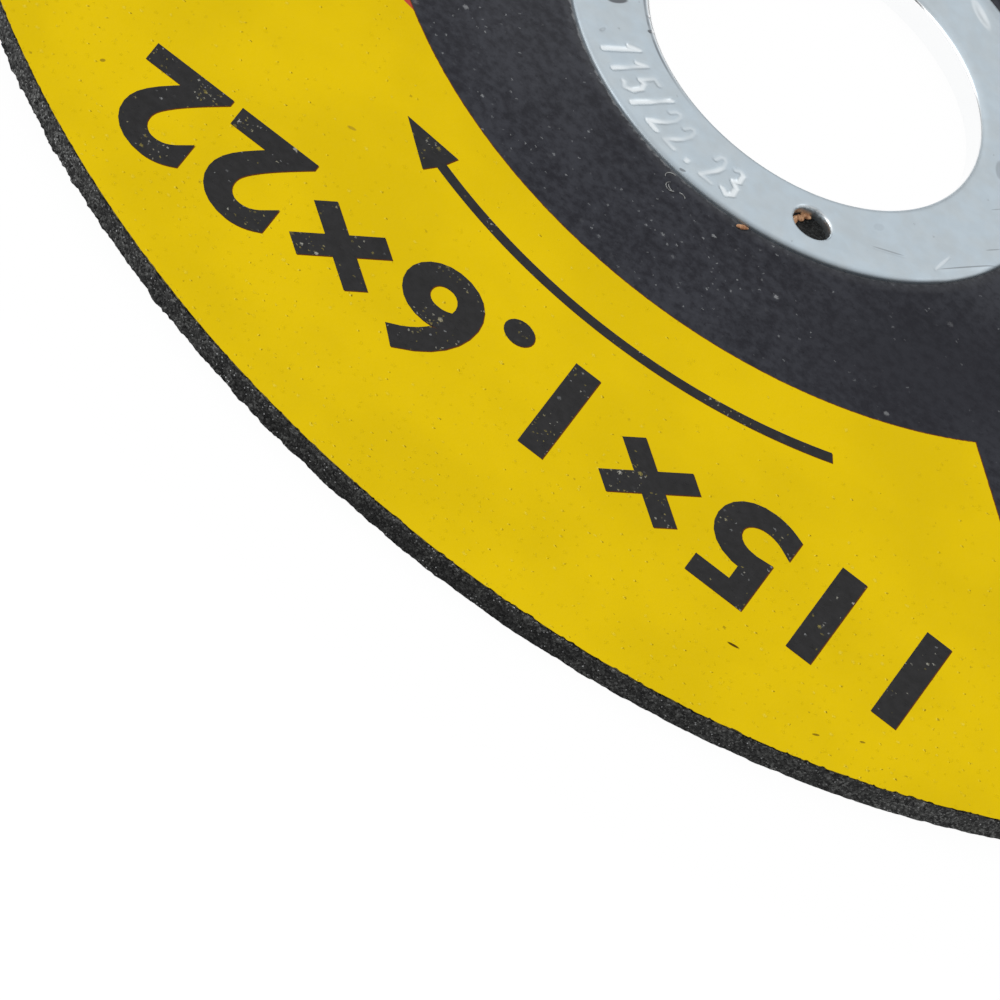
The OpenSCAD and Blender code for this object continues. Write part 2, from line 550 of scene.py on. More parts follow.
def makeAbrasive():
    look = abrasiveLook
    material, tree, shader, inMm = startMaterial("bondedAbrasive")
    x, y, z = splitPlace(tree, inMm)
    grains = put(tree, "ShaderNodeTexVoronoi", {"Vector": inMm, "Scale": look["coarseCells"]})
    fine = put(tree, "ShaderNodeTexVoronoi", {"Vector": inMm, "Scale": look["fineCells"]})
    pick = put(tree, "ShaderNodeSeparateColor", {0: grains.outputs["Color"]}).outputs
    finePick = put(tree, "ShaderNodeSeparateColor", {0: fine.outputs["Color"]}).outputs
    patch = ramp(tree, noiseAt(tree, inMm, 0.9, 3.0, 0.6), 0.35, 0.65, 0.55, 1.0)
    coarse = times(tree, calc(tree, "POWER", pick[0], 3.0), 0.18)
    tone = timesPlus(tree, calc(tree, "POWER", finePick[0], 3.5), 0.6, coarse)
    reach = vectorLength(tree, flattened(tree, inMm))
    # painted shade and painted light on the rim
    shadedRimFront = times(tree, spotMask(tree, x, y, look["shadedRimFront"], 1.4, 0.1), ramp(tree, z, 1.5, 0.9))
    change = calc(tree, "SUBTRACT", spotMask(tree, x, y, look["litRimSide"], 1.4, 0.1), shadedRimFront)
    change = timesPlus(tree, change, ramp(tree, reach, *look["rimFromTo"]), 1.0)
    colour = blendColour(tree, times(tree, tone, patch), look["dark"], look["grain"])
    colour = blendColour(tree, 1.0, colour, change, "MULTIPLY")
    # painted glints on a few fine grains
    paintedGlint = calc(tree, "GREATER_THAN", finePick[1], 0.94)
    paintedGlint = times(tree, paintedGlint, ramp(tree, fine.outputs["Distance"], 0.5, 0.25))
    colour = blendColour(tree, times(tree, paintedGlint, finePick[2]), colour, look["paintedGlint"])
    # painted shade in the pockets under the ring's holes
    underRing = calc(tree, "LESS_THAN", reach, ringRadius / mm)
    inPocket = times(tree, underRing, calc(tree, "GREATER_THAN", z, 1.0))
    colour = blendColour(tree, times(tree, inPocket, 0.85), colour, look["pocketShade"])

    # threads crossing on the back face only
    def threads(along):
        wave = calc(tree, "PINGPONG", along, look["meshPitch"] / 2)
        return ramp(tree, wave, 0.45, 0.1)

    weave = calc(tree, "MAXIMUM", threads(x), threads(y))
    weave = times(tree, weave, calc(tree, "LESS_THAN", z, 0.05))
    colour = blendColour(tree, times(tree, weave, 0.10), colour, look["grain"])
    tree.links.new(colour, shader.inputs["Base Color"])
    tree.links.new(timesPlus(tree, finePick[2], 0.4, 0.4), shader.inputs["Roughness"])
    shader.inputs["Specular IOR Level"].default_value = look["gloss"]
    lumps = timesPlus(tree, grains.outputs["Distance"], -0.5, times(tree, weave, 1.6))
    lumps = timesPlus(tree, fine.outputs["Distance"], -0.5, lumps)
    addBump(tree, shader, lumps, 0.9, 0.12 * mm)
    return material


# shape of the centre ring, which its look goes by as well
ringShape = {
    "edgeRound": 0.38 * mm,
    "roundSteps": 8,
    "around": 1000,
    "faceCuts": 58,
    "edgeDip": 0.10,  # the flange dips towards its edge, in millimetres
    "dipFromTo": (15.3, 16.4),
    "uneven": 0.012,
    "lipDepth": 0.05,  # groove worn round the lip of the bore
    "lipHalf": 0.13,
    "lipFromTo": (-3.0, -8.0),  # the groove is on this side only
}
zincLook = {
    "bluish": (0.508, 0.586, 0.645),
    "neutral": (0.511, 0.572, 0.612),
    "paintedBright": (0.965, 0.972, 0.976),  # painted light: near white, so the bore's wall and the lip's roll read bright
    "pressed": (0.82, 0.865, 0.89),  # painted highlight on stamped and dented places
    # grime, and painted shade in creases and at a hole's edge
    "grimeAndShade": (0.09, 0.09, 0.10),
    # painted highlights on a dent and beside a groove
    "highlightSpots": [
        mark((6.0, 13.35), (1.25, 0.42), -38, 0.5),
        mark((13.0, -8.2), (0.75, 0.12), 82, 0.25),
    ],
    # dark marks: grime, and painted shade along creases and at a hole's edge
    "spots": [
        mark((-8.85, -7.59), (0.20, 0.14), 60, 0.75),
        mark((-11.13, -10.24), (0.30, 0.13), 71, 0.22),
        mark((-2.40, -16.10), (0.22, 0.10), 10, 0.6),
        mark((-9.45, -6.55), (0.14, 0.10), 20, 0.4),
        mark((8.76, -9.20), (0.40, 0.28), 60, 0.10),
        # painted shade: the shaded edge of a hole, where the built ring has no hole
        mark((12.45, 2.3), (0.8, 0.3), 113, 0.3),
        mark((-11.50, -7.14), (0.74, 0.27), 51, 0.85),
        # painted shade: thin dark lines along creases, the fold and a groove
        mark((14.35, -6.95), (2.4, 0.045), 55.7, 0.5),
        mark((10.03, -10.48), (1.1, 0.055), 31.6, 0.38),
        mark((14.93, -4.24), (0.6, 0.045), 55.5, 0.38),
        mark((13.66, -0.97), (0.4, 0.045), 55.5, 0.3),
    ],
}


def makeZincSteel():
    look = zincLook
    material, tree, shader, inMm = startMaterial("satinZincSteel")
    ringMm, collarMm, boreMm = ringRadius / mm, collarRadius / mm, boreRadius / mm
    x, y, z = splitPlace(tree, inMm)
    reach = vectorLength(tree, flattened(tree, inMm))
    cloud = noiseAt(tree, inMm, 0.5, 4.0, 0.6)
    frost = noiseAt(tree, inMm, 4.0, 3.0, 0.6)
    drawn = {"Vector": inMm, "Rotation": (0, 0, 0.6), "Scale": (0.25, 7.0, 1.0)}
    streak = noiseAt(tree, put(tree, "ShaderNodeMapping", drawn).outputs[0], 1.0, 3.0, 0.7)
    colour = blendColour(tree, ramp(tree, cloud, 0.35, 0.65), look["neutral"], look["bluish"])
    shade = ramp(tree, noiseAt(tree, inMm, 1.1, 2.0), 0.3, 0.7, 0.955, 1.0)
    colour = blendColour(tree, 1.0, colour, shade, "MULTIPLY")
    dots = specks(tree, inMm, 1.3, 0.10, 0.10)
    colour = blendColour(tree, times(tree, dots["Mask"], 0.25), colour, look["grimeAndShade"])
    for spot in look["spots"]:
        colour = blendColour(tree, spotMask(tree, x, y, spot), colour, look["grimeAndShade"])
    # painted highlights on a dent and beside a groove
    for highlightSpot in look["highlightSpots"]:
        colour = blendColour(tree, spotMask(tree, x, y, highlightSpot), colour, look["pressed"])
    onFlange = times(tree, ramp(tree, reach, 12.1, 12.3), ramp(tree, reach, 15.95, 15.8))
    topMm = ringTop / mm
    flangeTop = ramp(tree, reach, *ringShape["dipFromTo"], topMm, topMm - ringShape["edgeDip"])
    pressed = ramp(tree, calc(tree, "SUBTRACT", flangeTop, z), 0.03, 0.13)
    pressed = times(tree, pressed, onFlange)
    # painted highlight on the stamped strokes and dents of the flange
    colour = blendColour(tree, times(tree, pressed, 0.8), colour, look["pressed"])
    # grime and painted shade on the flange's rounded outer edge, heavier on one side
    edge = ramp(tree, reach, ringMm - 0.35, ringMm - 0.04)
    edgeGrimeAndShade = times(tree, edge, ramp(tree, x, -4.0, 6.0, 0.10, 0.18))
    colour = blendColour(tree, edgeGrimeAndShade, colour, look["grimeAndShade"])

    # the lip of the bore: a crease darkened with grime and painted shade, and a painted highlight
    # on the roll inside it, on one side only; the bore's wall painted bright all round
    lipSide = ramp(tree, x, *ringShape["lipFromTo"])
    crease = calc(tree, "ABSOLUTE", calc(tree, "SUBTRACT", reach, collarMm + 0.06))
    crease = ramp(tree, crease, 0.13, 0.03)
    crease = times(tree, crease, ramp(tree, cloud, 0.35, 0.6, 0.3, 0.65))
    colour = blendColour(tree, times(tree, crease, lipSide), colour, look["grimeAndShade"])
    roll = times(tree, ramp(tree, reach, collarMm - 0.02, collarMm - 0.15), lipSide)
    inside = ramp(tree, reach, boreMm + 0.12, boreMm + 0.03)
    inside = calc(tree, "MAXIMUM", inside, times(tree, roll, 0.8))
    colour = blendColour(tree, inside, colour, look["paintedBright"])
    tree.links.new(colour, shader.inputs["Base Color"])
    shader.inputs["Metallic"].default_value = 1.0
    rough = timesPlus(tree, streak, 0.06, ramp(tree, cloud, 0.3, 0.7, 0.40, 0.34))
    rough = timesPlus(tree, edge, 0.12, rough)
    rough = timesPlus(tree, pressed, -0.1, timesPlus(tree, inside, -0.30, rough))
    tree.links.new(rough, shader.inputs["Roughness"])
    relief = timesPlus(tree, frost, 0.5, times(tree, streak, 0.5))
    addBump(tree, shader, relief, 0.12, 0.03 * mm)
    return material


def makeCrumbStuff(name, light, deep):
    material, tree, shader, inMm = startMaterial(name)
    tone = noiseAt(tree, inMm, 3.0, 3.0, 0.6)
    colour = blendColour(tree, ramp(tree, tone, 0.35, 0.65), deep, light)
    tree.links.new(colour, shader.inputs["Base Color"])
    tree.links.new(ramp(tree, tone, 0.3, 0.7, 0.5, 0.8), shader.inputs["Roughness"])
    addBump(tree, shader, tone, 0.5, 0.03 * mm)
    shader.inputs["Specular IOR Level"].default_value = 0.2
    return material


labelPaper = makeLabelPaper()
sizeInk = makeSizeInk()
fringeInk = makeFringeInk()
bondedAbrasive = makeAbrasive()
zincSteel = makeZincSteel()
resinBrown = makeCrumbStuff("resinBrown", (0.62, 0.36, 0.20), (0.28, 0.12, 0.055))
paleLint = makeCrumbStuff("paleLint", (0.42, 0.43, 0.42), (0.16, 0.16, 0.16))
print("materials ready")


# pierced holes of the ring, and the pockets under them
piercedHoles = {
    "count": 4,
    "firstTurn": -66.5,
    "circle": (boreRadius + ringRadius) / 2,
    "flangeLeft": 0.75 * mm,
    "wall": 0.2 * mm,
    "depth": 0.3 * mm,
    "rolled": 0.25 * mm,
    "sides": 64,
}
clawRadius = piercedHoles["circle"] - collarRadius - piercedHoles["flangeLeft"]
holeRadius = clawRadius - piercedHoles["wall"]
holeFloor = labelTop - piercedHoles["depth"]
holePitch = 360 / piercedHoles["count"]
holeTurns = [piercedHoles["firstTurn"] + holePitch * i for i in range(piercedHoles["count"])]
holePlaces = [onCircle(piercedHoles["circle"], turn) for turn in holeTurns]


def makePegs(radius, low, high):
    clearSelection()
    pegs = []
    for place in holePlaces:
        sizes = {"vertices": piercedHoles["sides"], "radius": radius, "depth": high - low}
        bpy.ops.mesh.primitive_cylinder_add(**sizes)
        bpy.context.object.location = place + Vector((0, 0, (low + high) / 2))
        applyPlace(bpy.context.object)
        pegs.append(bpy.context.object)
    return joinPieces(pegs, "pegs")


# abrasive disc with a broken, grainy rim
discShape = {
    "around": 3000,
    "rows": 14,
    "backLoops": (30 * mm, 56 * mm),
    "frontLoops": (56 * mm,),
    "lumps": ("CLOUDS", 1.2 * mm, 0.42 * mm),  # texture, its scale and its strength
    "grains": ("VORONOI", 0.36 * mm, 0.15 * mm),
    "grit": ("CLOUDS", 0.15 * mm, 0.08 * mm),
    "level": 0.72,  # texture level that stays in place; most of the rim goes inward
    "calmTurn": -52.0,  # direction in which the rim is least broken
    "calmFromTo": (15, 70),  # degrees from there over which it gets rougher
    "calmShare": 0.35,
    "topShare": 0.3,  # how far the top edge breaks away
    "upperShare": 0.45,  # and the rim just below it
    "inset": 0.03 * mm,  # least that the rim stays inside the true circle
    "footWear": 0.09 * mm,
    "footHeight": 0.6 * mm,
    "footFromTo": (50, 90),
}
edgeBand = 0.1 * mm  # what counts as the edge of the disc or the label


# carries the chosen loop, of the first radius, through new loops of the other radii
def growLoops(*radii):
    for old, new in zip(radii, radii[1:]):
        bpy.ops.mesh.extrude_edges_move()
        bpy.ops.transform.resize(value=(new / old, new / old, 1), center_override=(0, 0, 0))


def liftLoop(height):
    bpy.ops.mesh.extrude_edges_move()
    bpy.ops.transform.translate(value=(0, 0, height))


def makeTexture(name, kind, scale):
    texture = bpy.data.textures.new(name, kind)
    texture.noise_scale = scale
    return texture


def roughen(piece, texture, strength, level=0.5, group=""):
    displace = piece.modifiers.new("roughen", "DISPLACE")
    displace.texture = texture
    displace.texture_coords = "LOCAL"
    displace.vertex_group = group
    displace.mid_level = level
    displace.strength = strength


def awayFromCalm(place):
    turn = math.degrees(math.atan2(place.y, place.x)) - discShape["calmTurn"]
    return abs((turn + 180) % 360 - 180)


# the rim breaks away more at its lower edge, and less on one side of the wheel
def breakShare(place):
    shape = discShape
    share = smoothStep(*shape["calmFromTo"], awayFromCalm(place))
    share = shape["calmShare"] + (1 - shape["calmShare"]) * share
    if place.z >= discTop - tiny:
        return share * shape["topShare"]
    upper = shape["upperShare"]
    return share * (upper + (1 - upper) * smoothStep(discTop, 0.0, place.z))


def footWearAt(place):
    side = smoothStep(*discShape["footFromTo"], awayFromCalm(place))
    return discShape["footWear"] * side * smoothStep(discShape["footHeight"], 0.0, place.z)


def makeAbrasiveDisc():
    shape = discShape
    clearSelection()
    bpy.ops.mesh.primitive_circle_add(vertices=shape["around"], radius=collarRadius)
    disc = namePiece("abrasiveDisc")
    startEdit(disc)
    growLoops(collarRadius, *shape["backLoops"], wheelRadius)
    for row in range(shape["rows"]):
        liftLoop(discTop / shape["rows"])
    growLoops(wheelRadius, *shape["frontLoops"], collarRadius)
    bpy.ops.mesh.select_all(action="DESELECT")
    bpy.ops.mesh.select_non_manifold()
    bpy.ops.mesh.bridge_edge_loops()
    endEdit()
    fixNormals(disc)
    rim = disc.vertex_groups.new(name="rim")
    for vertex in disc.data.vertices:
        if vertex.co.to_2d().length > wheelRadius - edgeBand:
            rim.add([vertex.index], breakShare(vertex.co), "REPLACE")
    for part in ("lumps", "grains", "grit"):
        kind, scale, strength = shape[part]
        roughen(disc, makeTexture(part, kind, scale), strength, shape["level"], "rim")
    applyModifiers(disc)
    for vertex in disc.data.vertices:
        reach = vertex.co.to_2d().length
        if reach > wheelRadius - 1 * mm:
            kept = min(reach, wheelRadius - shape["inset"]) - footWearAt(vertex.co)
            vertex.co.xy *= kept / reach
        vertex.co.z = min(max(vertex.co.z, 0.0), discTop)
    combine(disc, makePegs(clawRadius, holeFloor, discTop + 1 * mm), "DIFFERENCE")
    wear(disc, bondedAbrasive)
    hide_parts("abrasive_disc")
    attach(disc, "root")
    return disc


abrasiveDisc = makeAbrasiveDisc()
print("abrasive disc", len(abrasiveDisc.data.polygons), "faces")


# paper label, trimmed with the rim and nicked along its edge
labelShape = {
    "around": 3000,
    "trim": 0.04 * mm,
    "ragged": 0.13 * mm,
    "nick": 0.09 * mm,
    "waveSize": 1.5 * mm,
    "fineSize": 0.35 * mm,
    "nickSize": 0.3 * mm,
    "edgeStrip": 0.6 * mm,
    "loops": (40 * mm, 20 * mm),
}


def frayAt(place):
    shape = labelShape
    wave = noise.noise(place / shape["waveSize"]) + 0.6 * noise.noise(place / shape["fineSize"])
    nick = smoothStep(0.2, 0.5, noise.noise(place / shape["nickSize"] + Vector((7, 3, 1))))
    rough = 1 - 0.6 * smoothStep(30, 70, awayFromCalm(place))
    bite = shape["ragged"] * min(max(0.45 + 0.45 * wave, 0.0), 1.0) + shape["nick"] * nick
    return shape["trim"] + rough * bite


# gives a flat sheet its thickness, down from its face
def thicken(piece, thickness):
    fixNormals(piece)
    solid = piece.modifiers.new("thickness", "SOLIDIFY")
    solid.thickness = thickness
    solid.offset = -1.0 if piece.data.polygons[0].normal.z > 0 else 1.0
    applyModifiers(piece)


def makeLabel():
    shape = labelShape
    clearSelection()
    bpy.ops.mesh.primitive_circle_add(vertices=shape["around"], radius=wheelRadius)
    label = namePiece("paperLabel")
    label.location.z = labelTop
    applyPlace(label)
    startEdit(label)
    growLoops(wheelRadius, wheelRadius - shape["edgeStrip"], *shape["loops"], collarRadius)
    endEdit()
    for vertex in label.data.vertices:
        reach = vertex.co.to_2d().length
        if reach > wheelRadius - edgeBand:
            vertex.co.xy *= (wheelRadius - frayAt(vertex.co)) / reach
    thicken(label, labelThick)
    fixNormals(label)
    combine(label, makePegs(clawRadius, holeFloor, labelTop + 1 * mm), "DIFFERENCE")
    wear(label, labelPaper)
    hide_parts("label")
    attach(label, "root")
    return label


paperLabel = makeLabel()
print("paper label", len(paperLabel.data.polygons), "faces")


# plain size numbers across the yellow field, read from the rim side
sizeMarks = {
    "text": "115×1.6×22",
    "middle": (-2.0 * mm, -40.7 * mm),
    "width": 57.5 * mm,
    "height": 9.3 * mm,
    "glyphSize": 12.0 * mm,
    "weight": 0.36 * mm,
    "spread": 1.1,
    "lift": 0.012 * mm,
    "sink": 0.004 * mm,
    "fringeShift": (0.07 * mm, -0.03 * mm, -0.005 * mm),
    "curveSteps": 6,
}


def finishPrint(piece, material):
    fixNormals(piece)
    wear(piece, material)
    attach(piece, "root")


# a copy that shows as a thin reddish edge beside the black
def addFringe(piece, name):
    takeUp(piece)
    bpy.ops.object.duplicate()
    fringe = namePiece(name)
    fringe.location = sizeMarks["fringeShift"]
    applyPlace(fringe)
    finishPrint(fringe, fringeInk)


def makeSizeNumbers():
    marks = sizeMarks
    clearSelection()
    bpy.ops.object.text_add(location=(0, 0, 0))
    text = bpy.context.object.data
    text.body = marks["text"]
    text.size = marks["glyphSize"]
    text.offset = marks["weight"]
    text.space_character = marks["spread"]
    text.extrude = (marks["lift"] + marks["sink"]) / 2
    text.resolution_u = marks["curveSteps"]
    bpy.ops.object.convert(target="MESH")
    numbers = namePiece("sizeNumbers")
    bpy.ops.object.origin_set(type="ORIGIN_GEOMETRY", center="BOUNDS")
    numbers.scale.x = marks["width"] / numbers.dimensions.x
    numbers.scale.y = marks["height"] / numbers.dimensions.y
    numbers.rotation_euler.z = math.pi
    numbers.location = (*marks["middle"], labelTop + (marks["lift"] - marks["sink"]) / 2)
    applyPlace(numbers)
    addFringe(numbers, "sizeNumbersEdge")
    finishPrint(numbers, sizeInk)
    return numbers


sizeNumbers = makeSizeNumbers()
print("size numbers", len(sizeNumbers.data.polygons), "faces")

# arrow for the turning direction, between the numbers and the dark middle
turnArrow = {
    "radius": 32.2 * mm,
    "from": -63.0,
    "to": -115.0,
    "thick": 0.8 * mm,
    "headWidth": 3.0 * mm,
    "headTurn": -6.5,
    "steps": 48,
}


# turns what is chosen about the wheel's axis; with no window the operator turns the other way
def swing(degrees):
    turn = -math.radians(degrees)
    bpy.ops.transform.rotate(value=turn, orient_axis="Z", center_override=(0, 0, 0))


def makeTurnArrow():
    shape = turnArrow
    clearSelection()
    bpy.ops.mesh.primitive_plane_add(size=1)
    arrow = namePiece("turnArrow")
    arrow.scale = (shape["thick"], 1 * mm, 1)
    arrow.location = (shape["radius"], 0.5 * mm, labelTop + sizeMarks["lift"])
    applyPlace(arrow)
    startEdit(arrow)
    pickVerts(lambda co: co.y > 0.5 * mm)
    bpy.ops.mesh.delete(type="VERT")
    bpy.ops.mesh.select_all(action="SELECT")
    swing(shape["from"])
    turn = math.radians(shape["from"] - shape["to"])  # spin turns the other way too
    bpy.ops.mesh.spin(steps=shape["steps"], angle=turn, center=(0, 0, 0), axis=(0, 0, 1))
    neck = onCircle(shape["radius"], shape["to"], labelTop)
    bpy.ops.mesh.extrude_edges_move()
    swing(-0.05)
    wider = shape["headWidth"] / shape["thick"]
    bpy.ops.transform.resize(value=(wider, wider, 1), center_override=neck)
    bpy.ops.mesh.extrude_edges_move()
    swing(shape["headTurn"])
    bpy.ops.mesh.merge(type="CENTER")
    endEdit()
    thicken(arrow, sizeMarks["lift"] + sizeMarks["sink"])
    addFringe(arrow, "turnArrowEdge")
    finishPrint(arrow, sizeInk)
    return arrow


arrowMark = makeTurnArrow()
print("turn arrow", len(arrowMark.data.polygons), "faces")

# stamped with single strokes, given in a cell one high, read from the rim side
stamp = {
    "text": "115/22.23",
    "from": -134.0,
    "to": -84.5,
    "foot": 15.55,  # radius in millimetres that the digits stand on
    "middle": 14.2,  # radius at which they keep their width
    "tall": 2.6,
    "wide": 1.36,
    "half": 0.33,
    "depth": 0.15,
    "strokes": {
        "1": [(0.16, 0.74), (0.36, 1.0), (0.36, 0.0)],
        "2": [(0.06, 0.76), (0.16, 0.94), (0.32, 1.0), (0.48, 0.92), (0.54, 0.72),
              (0.42, 0.46), (0.06, 0.0), (0.58, 0.0)],
        "3": [(0.06, 0.90), (0.28, 1.0), (0.50, 0.90), (0.50, 0.64), (0.26, 0.53),
              (0.54, 0.38), (0.54, 0.12), (0.30, 0.0), (0.04, 0.10)],
        "5": [(0.52, 1.0), (0.12, 1.0), (0.08, 0.56), (0.32, 0.62), (0.54, 0.46),
              (0.54, 0.18), (0.32, 0.0), (0.05, 0.08)],
        "/": [(0.08, -0.06), (0.50, 1.06)],
        ".": [(0.28, 0.0), (0.28, 0.06)],
    },
}
# knocks on the flange, in millimetres: grooves from one point to another, and oval dents
ringKnocks = {
    "grooves": [
        {"from": (9.29, -11.04), "to": (11.01, -9.97), "half": 0.12, "depth": 0.03},
        {"from": (12.9, -9.05), "to": (13.12, -7.32), "half": 0.18, "depth": 0.06},
        {"from": (8.52, -8.67), "to": (8.68, -9.82), "half": 0.14, "depth": 0.015},
    ],
    "dents": [
        {"at": (-11.13, -10.24), "half": (0.45, 0.22), "turn": 71, "depth": 0.05},
        {"at": (-8.85, -7.59), "half": (0.26, 0.20), "turn": 40, "depth": 0.10},
        {"at": (-9.45, -6.55), "half": (0.22, 0.16), "turn": 20, "depth": 0.05},
        {"at": (6.15, 13.45), "half": (1.25, 0.45), "turn": -38, "depth": 0.07},
        {"at": (-2.4, -16.0), "half": (0.35, 0.25), "turn": 0, "depth": 0.06},
    ],
    "foldFrom": (12.95, -8.9),
    "foldTo": (15.6, -5.1),
    "foldDrop": 0.05,
}


def strokeDistance(x, y, first, second):
    spanX, spanY = second[0] - first[0], second[1] - first[1]
    span = max(spanX * spanX + spanY * spanY, 1e-12)
    share = ((x - first[0]) * spanX + (y - first[1]) * spanY) / span
    share = min(max(share, 0.0), 1.0)
    return math.hypot(x - first[0] - share * spanX, y - first[1] - share * spanY)


def groove(away, half):
    return (1 - (away / half) ** 2) ** 2 if away < half else 0.0


def stampDrop(reach, turn):
    pitch = (stamp["to"] - stamp["from"]) / len(stamp["text"])
    rise = (stamp["foot"] - reach) / stamp["tall"]
    if not (-0.2 < rise < 1.2 and stamp["from"] - 1 < turn < stamp["to"] + 1):
        return 0.0
    wide, tall = stamp["wide"], stamp["tall"]
    best = 9.0
    for i, letter in enumerate(stamp["text"]):
        along = math.radians(turn - stamp["from"] - i * pitch) * stamp["middle"]
        if -0.4 < along < 1.8:
            points = [(px * wide, py * tall) for px, py in stamp["strokes"][letter]]
            for first, second in zip(points, points[1:]):
                best = min(best, strokeDistance(along, rise * tall, first, second))
    return stamp["depth"] * groove(best, stamp["half"])


def knockDrop(x, y):
    drop = 0.0
    for one in ringKnocks["grooves"]:
        drop += one["depth"] * groove(strokeDistance(x, y, one["from"], one["to"]), one["half"])
    for one in ringKnocks["dents"]:
        turn = math.radians(one["turn"])
        offX, offY = x - one["at"][0], y - one["at"][1]
        along = (offX * math.cos(turn) + offY * math.sin(turn)) / one["half"][0]
        across = (offY * math.cos(turn) - offX * math.sin(turn)) / one["half"][1]
        drop += one["depth"] * groove(math.hypot(along, across), 1.0)
    start, end = Vector(ringKnocks["foldFrom"]), Vector(ringKnocks["foldTo"])
    along = (Vector((x, y)) - start).dot((end - start).normalized()) / (end - start).length
    if -0.1 < along < 1.1:
        outward = Vector((end.y - start.y, start.x - end.x)).normalized()
        past = (Vector((x, y)) - start).dot(outward)
        ends = smoothStep(-0.1, 0.1, along) * smoothStep(1.1, 0.9, along)
        drop += ringKnocks["foldDrop"] * smoothStep(-0.02, 0.3, past) * ends
    return drop


# how far the pressed sheet lies below a true ring at one point, in millimetres
def ringDrop(place):
    x, y = place.x / mm, place.y / mm
    reach, turn = math.hypot(x, y), math.degrees(math.atan2(y, x))
    shape = ringShape
    uneven = shape["uneven"] * (0.5 + 0.5 * noise.noise(Vector((x, y, 0)) * 0.45))
    worn = 0.5 + 0.5 * noise.noise(Vector((x, y, 4)) * 0.6)
    lip = groove(abs(reach - collarRadius / mm - 0.05), shape["lipHalf"])
    lip = shape["lipDepth"] * lip * worn * smoothStep(*shape["lipFromTo"], x)
    drop = uneven + lip + shape["edgeDip"] * smoothStep(*shape["dipFromTo"], reach)
    drop += knockDrop(x, y) + stampDrop(reach, turn) * (0.45 + 0.55 * smoothStep(0.25, 0.6, worn))
    rolled = piercedHoles["rolled"] / mm
    for hole in holePlaces:
        past = math.hypot(x - hole.x / mm, y - hole.y / mm) - holeRadius / mm
        if past < rolled:
            share = min((rolled - past) / rolled, 1.0)
            drop = max(drop, rolled * (1 - math.sqrt(1 - share * share)))
    return drop


def makeRingSection():
    shape = ringShape
    clearSelection()
    bpy.ops.mesh.primitive_plane_add(size=1, rotation=(math.pi / 2, 0, 0))
    ring = namePiece("centreRing")
    ring.scale = (ringRadius - boreRadius, sheet, 1)
    ring.location = ((ringRadius + boreRadius) / 2, 0, (labelTop + ringTop) / 2)
    applyPlace(ring)
    startEdit(ring)
    bpy.ops.mesh.bisect(plane_co=(collarRadius, 0, 0), plane_no=(1, 0, 0))
    pickVerts(lambda co: co.z < labelTop + tiny and co.x < collarRadius + tiny)
    bpy.ops.mesh.extrude_edges_move()
    bpy.ops.transform.translate(value=(0, 0, ringFoot - labelTop))
    bpy.ops.mesh.select_all(action="SELECT")
    bpy.ops.mesh.dissolve_faces()
    rounding = {"segments": shape["roundSteps"], "affect": "VERTICES", "clamp_overlap": False}
    for cornerX, size in ((boreRadius, sheet), (ringRadius, shape["edgeRound"])):
        pickVerts(lambda co: abs(co.x - cornerX) < tiny and co.z > ringTop - tiny)
        bpy.ops.mesh.bevel(offset=size, **rounding)
    bpy.ops.mesh.select_all(action="SELECT")
    bpy.ops.mesh.remove_doubles(threshold=tiny)
    bpy.ops.mesh.delete(type="ONLY_FACE")
    pickVerts(lambda co: co.z > ringTop - tiny)
    bpy.ops.mesh.subdivide(number_cuts=shape["faceCuts"])
    endEdit()
    return ring


def makeCentreRing():
    ring = makeRingSection()
    turned = ring.modifiers.new("turned", "SCREW")
    turned.steps = turned.render_steps = ringShape["around"]
    turned.use_merge_vertices = True
    turned.merge_threshold = tiny
    applyModifiers(ring)
    fixNormals(ring, tiny)
    for vertex in ring.data.vertices:
        height = (vertex.co.z - labelTop) / sheet
        if height > 0.02:
            vertex.co.z -= ringDrop(vertex.co) * mm * height
    combine(ring, makePegs(clawRadius, holeFloor, labelTop + 0.2 * mm), "UNION")
    combine(ring, makePegs(holeRadius, holeFloor - 1 * mm, ringTop + 1 * mm), "DIFFERENCE")
    wear(ring, zincSteel)
    smoothUnder(ring, 40)
    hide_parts("centre_ring")
    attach(ring, "root")
    return ring


centreRing = makeCentreRing()
print("centre ring", len(centreRing.data.polygons), "faces")

# crumbs of resin: place and half sizes in millimetres
crumbs = {
    "places": [
        ((4.95, -11.75, 1.42), (0.34, 0.20, 0.14), 20),
        ((4.55, -12.75, 1.42), (0.20, 0.40, 0.16), 10),
        ((4.75, -12.15, 1.36), (0.26, 0.24, 0.09), 0),
        ((2.38, -16.60, 1.66), (0.42, 0.19, 0.10), 34),
    ],
    "lumpScale": 0.22 * mm,
    "lumpShare": 1.1,
    "tilt": 0.2,
    "seed": 11,
}


def makeCrumbs(name):
    random.seed(crumbs["seed"])
    tilt = crumbs["tilt"]
    lumps = makeTexture(name, "CLOUDS", crumbs["lumpScale"])
    made = []
    for place, half, turn in crumbs["places"]:
        clearSelection()
        bpy.ops.mesh.primitive_ico_sphere_add(subdivisions=3, radius=mm)
        crumb = bpy.context.object
        crumb.scale = half
        lean = (random.uniform(-tilt, tilt), random.uniform(-tilt, tilt))
        crumb.rotation_euler = (*lean, math.radians(turn))
        crumb.location = Vector(place) * mm
        applyPlace(crumb)
        roughen(crumb, lumps, crumbs["lumpShare"] * min(half) * mm)
        applyModifiers(crumb)
        made.append(crumb)
    piece = joinPieces(made, name)
    wear(piece, resinBrown)
    smoothUnder(piece, 35)
    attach(piece, "root")


makeCrumbs("resinCrumbs")

